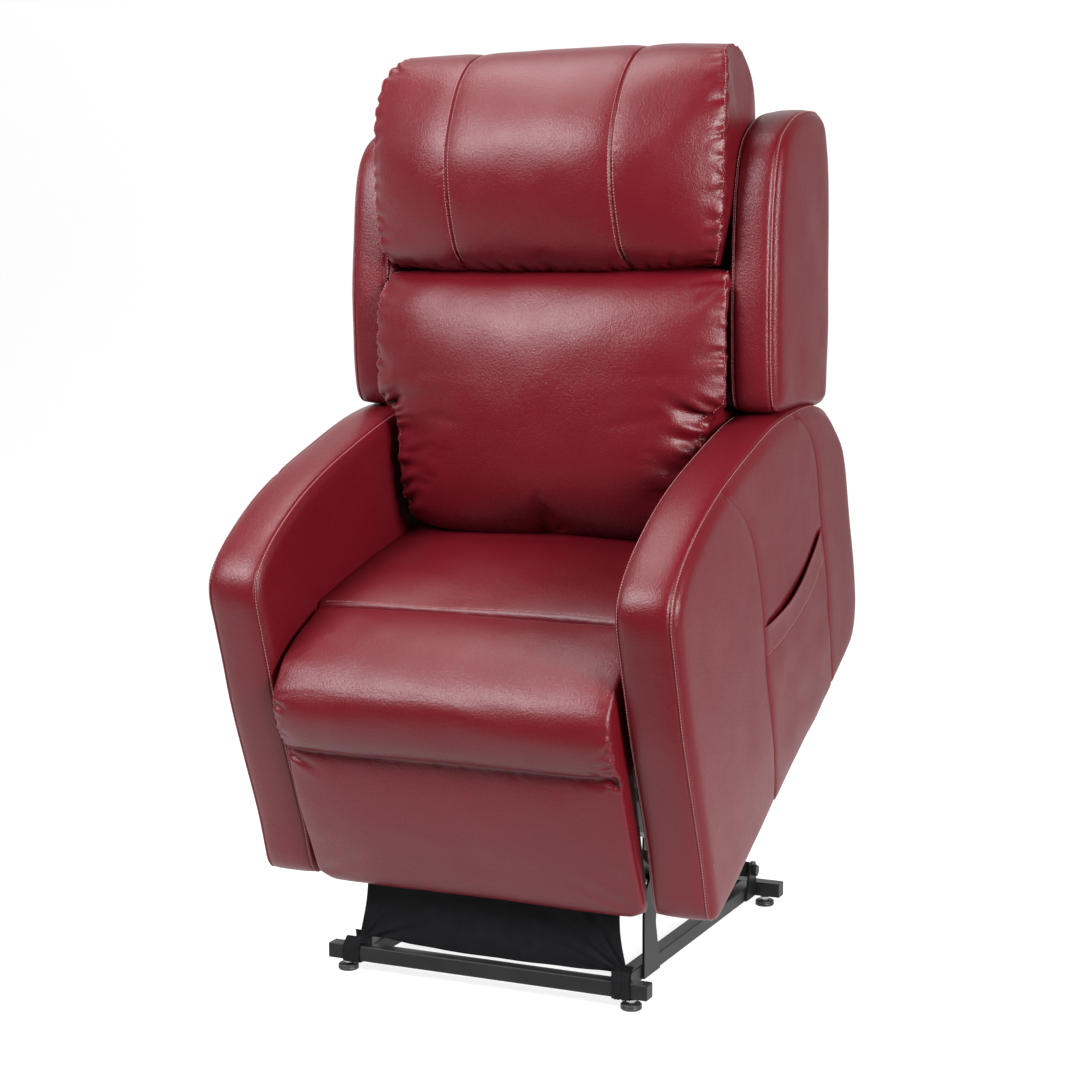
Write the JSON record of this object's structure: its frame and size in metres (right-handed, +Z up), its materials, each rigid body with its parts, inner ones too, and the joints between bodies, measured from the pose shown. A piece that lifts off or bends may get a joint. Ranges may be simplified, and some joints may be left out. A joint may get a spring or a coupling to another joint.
{
  "type": "lift recliner chair",
  "caption": "Padded powered lift recliner with rounded arms, side pockets, winged back, leg rest and a scissor lift base; shown raised and tipped forward.",
  "frame": {"origin": "centre of the bounding box on the floor, chair raised with leg rest closed", "axes": "+X to the sitter's left, -Y to the front, +Z up"},
  "size_m": [0.8, 0.9126, 1.5263],
  "materials": {
    "vinyl": "satin crimson upholstery vinyl with a fine pebble grain",
    "painted_steel": "satin black powder coat",
    "zinc": "bright zinc plate",
    "spring": "drawn spring wire",
    "plywood": "plain plywood",
    "black_plastic": "matte moulded plastic",
    "black_cloth": "plain black woven cloth"
  },
  "bodies": {
    "base": {"base_front_bar": "painted_steel", "base_rear_bar": "painted_steel", "base_rail_left": "painted_steel", "base_rail_right": "painted_steel", "tower_left": "painted_steel", "tower_right": "painted_steel", "rear_ear_left": "painted_steel", "rear_ear_right": "painted_steel", "pivot_bolt_left": "painted_steel", "pivot_bolt_right": "painted_steel", "levelling_foot_front_left": "black_plastic", "levelling_foot_front_right": "black_plastic", "levelling_foot_rear_left": "black_plastic", "levelling_foot_rear_right": "black_plastic", "base_skirt": "black_cloth"},
    "lift_arms": {"lift_torque_tube": "painted_steel", "lift_arm_left": "painted_steel", "lift_arm_right": "painted_steel"},
    "front_links": {"front_link_left": "painted_steel", "front_link_right": "painted_steel"},
    "lift_actuator": {"lift_motor": "black_plastic"},
    "lift_rod": {"lift_actuator_rod": "zinc"},
    "chassis": {"lift_bracket_left": "painted_steel", "lift_bracket_right": "painted_steel", "front_cross_tube": "painted_steel", "rear_cross_tube": "painted_steel", "mechanism_plate_left": "painted_steel", "mechanism_plate_right": "painted_steel", "seat_rail_left": "plywood", "seat_rail_right": "plywood", "seat_front_rail": "plywood", "seat_spring_left": "spring", "seat_spring_middle": "spring", "seat_spring_right": "spring", "seat_cushion": "vinyl", "seat_front_roll": "vinyl", "arm_left": "vinyl", "arm_right": "vinyl", "pocket_panel_left": "vinyl", "pocket_panel_right": "vinyl", "control_box": "black_plastic"},
    "footrest": {"footrest_pad": "vinyl", "footrest_board": "plywood", "footrest_bracket_left": "painted_steel", "footrest_bracket_right": "painted_steel"},
    "rear_leg_links": {"footrest_drive_tube": "painted_steel", "leg_link_rear_left": "painted_steel", "leg_link_rear_right": "painted_steel"},
    "front_leg_links": {"leg_link_front_left": "painted_steel", "leg_link_front_right": "painted_steel"},
    "recline_actuator": {"recline_motor": "black_plastic"},
    "recline_rod": {"recline_actuator_rod": "zinc"},
    "back": {"back_frame": "plywood", "back_panel": "vinyl", "lumbar_cushion": "vinyl", "head_cushion": "vinyl", "wing_left": "vinyl", "wing_right": "vinyl"}
  },
  "joints": [
    {"name": "lift", "type": "hinge", "parent": "base", "child": "lift_arms", "pos_m": [0, 0.35904, 0.072], "axis": [1, 0, 0], "range_deg": [0, 18.6], "deforming": ["base_skirt"]},
    {"name": "chassis_tilt", "type": "hinge", "parent": "lift_arms", "child": "chassis", "pos_m": [0, -0.16467, 0.27885], "axis": [1, 0, 0], "range_deg": [-44.35, 0]},
    {"name": "front_link_swing", "type": "hinge", "parent": "base", "child": "front_links", "pos_m": [0, -0.12896, 0.18], "axis": [1, 0, 0], "range_deg": [0, 39.12]},
    {"name": "lift_motor_tilt", "type": "hinge", "parent": "base", "child": "lift_actuator", "pos_m": [0, 0.39004, 0.13], "axis": [1, 0, 0], "range_deg": [0, 17.41]},
    {"name": "lift_rod_slide", "type": "slide", "parent": "lift_actuator", "child": "lift_rod", "axis": [0, -0.9148, 0.4039], "range_m": [-0.0538, 0]},
    {"name": "recline", "type": "hinge", "parent": "chassis", "child": "footrest", "pos_m": [0, -0.4706, 0.5156], "axis": [-1, 0, 0], "range_deg": [0, 80]},
    {"name": "drive_tube_turn", "type": "hinge", "parent": "chassis", "child": "rear_leg_links", "pos_m": [0, -0.20218, 0.49053], "axis": [-1, 0, 0], "range_deg": [0, 80]},
    {"name": "leg_link_knee", "type": "hinge", "parent": "rear_leg_links", "child": "front_leg_links", "pos_m": [0, -0.05392, 0.32529], "axis": [-1, 0, 0], "range_deg": [-79.86, 0]},
    {"name": "recline_motor_tilt", "type": "hinge", "parent": "chassis", "child": "recline_actuator", "pos_m": [0, 0.1407, 0.47909], "axis": [-1, 0, 0], "range_deg": [0, 3.99]},
    {"name": "recline_rod_slide", "type": "slide", "parent": "recline_actuator", "child": "recline_rod", "axis": [0, -0.9942, -0.1073], "range_m": [0, 0.0596]},
    {"name": "back_recline", "type": "hinge", "parent": "chassis", "child": "back", "pos_m": [0, 0.21836, 0.67516], "axis": [-1, 0, 0], "range_deg": [0, 32]}
  ],
  "couplings": [
    {"joint": "chassis_tilt", "follows": "lift", "ratio": -2.3817},
    {"joint": "front_link_swing", "follows": "lift", "ratio": 2.1004},
    {"joint": "lift_motor_tilt", "follows": "lift", "ratio": 0.93333},
    {"joint": "lift_rod_slide", "follows": "lift", "m_per_rad": -0.16525},
    {"joint": "drive_tube_turn", "follows": "recline", "ratio": 0.99937},
    {"joint": "leg_link_knee", "follows": "recline", "ratio": -0.99766},
    {"joint": "recline_motor_tilt", "follows": "recline", "ratio": 0.0492},
    {"joint": "recline_rod_slide", "follows": "recline", "m_per_rad": 0.04258},
    {"joint": "back_recline", "follows": "recline", "ratio": 0.4}
  ]
}
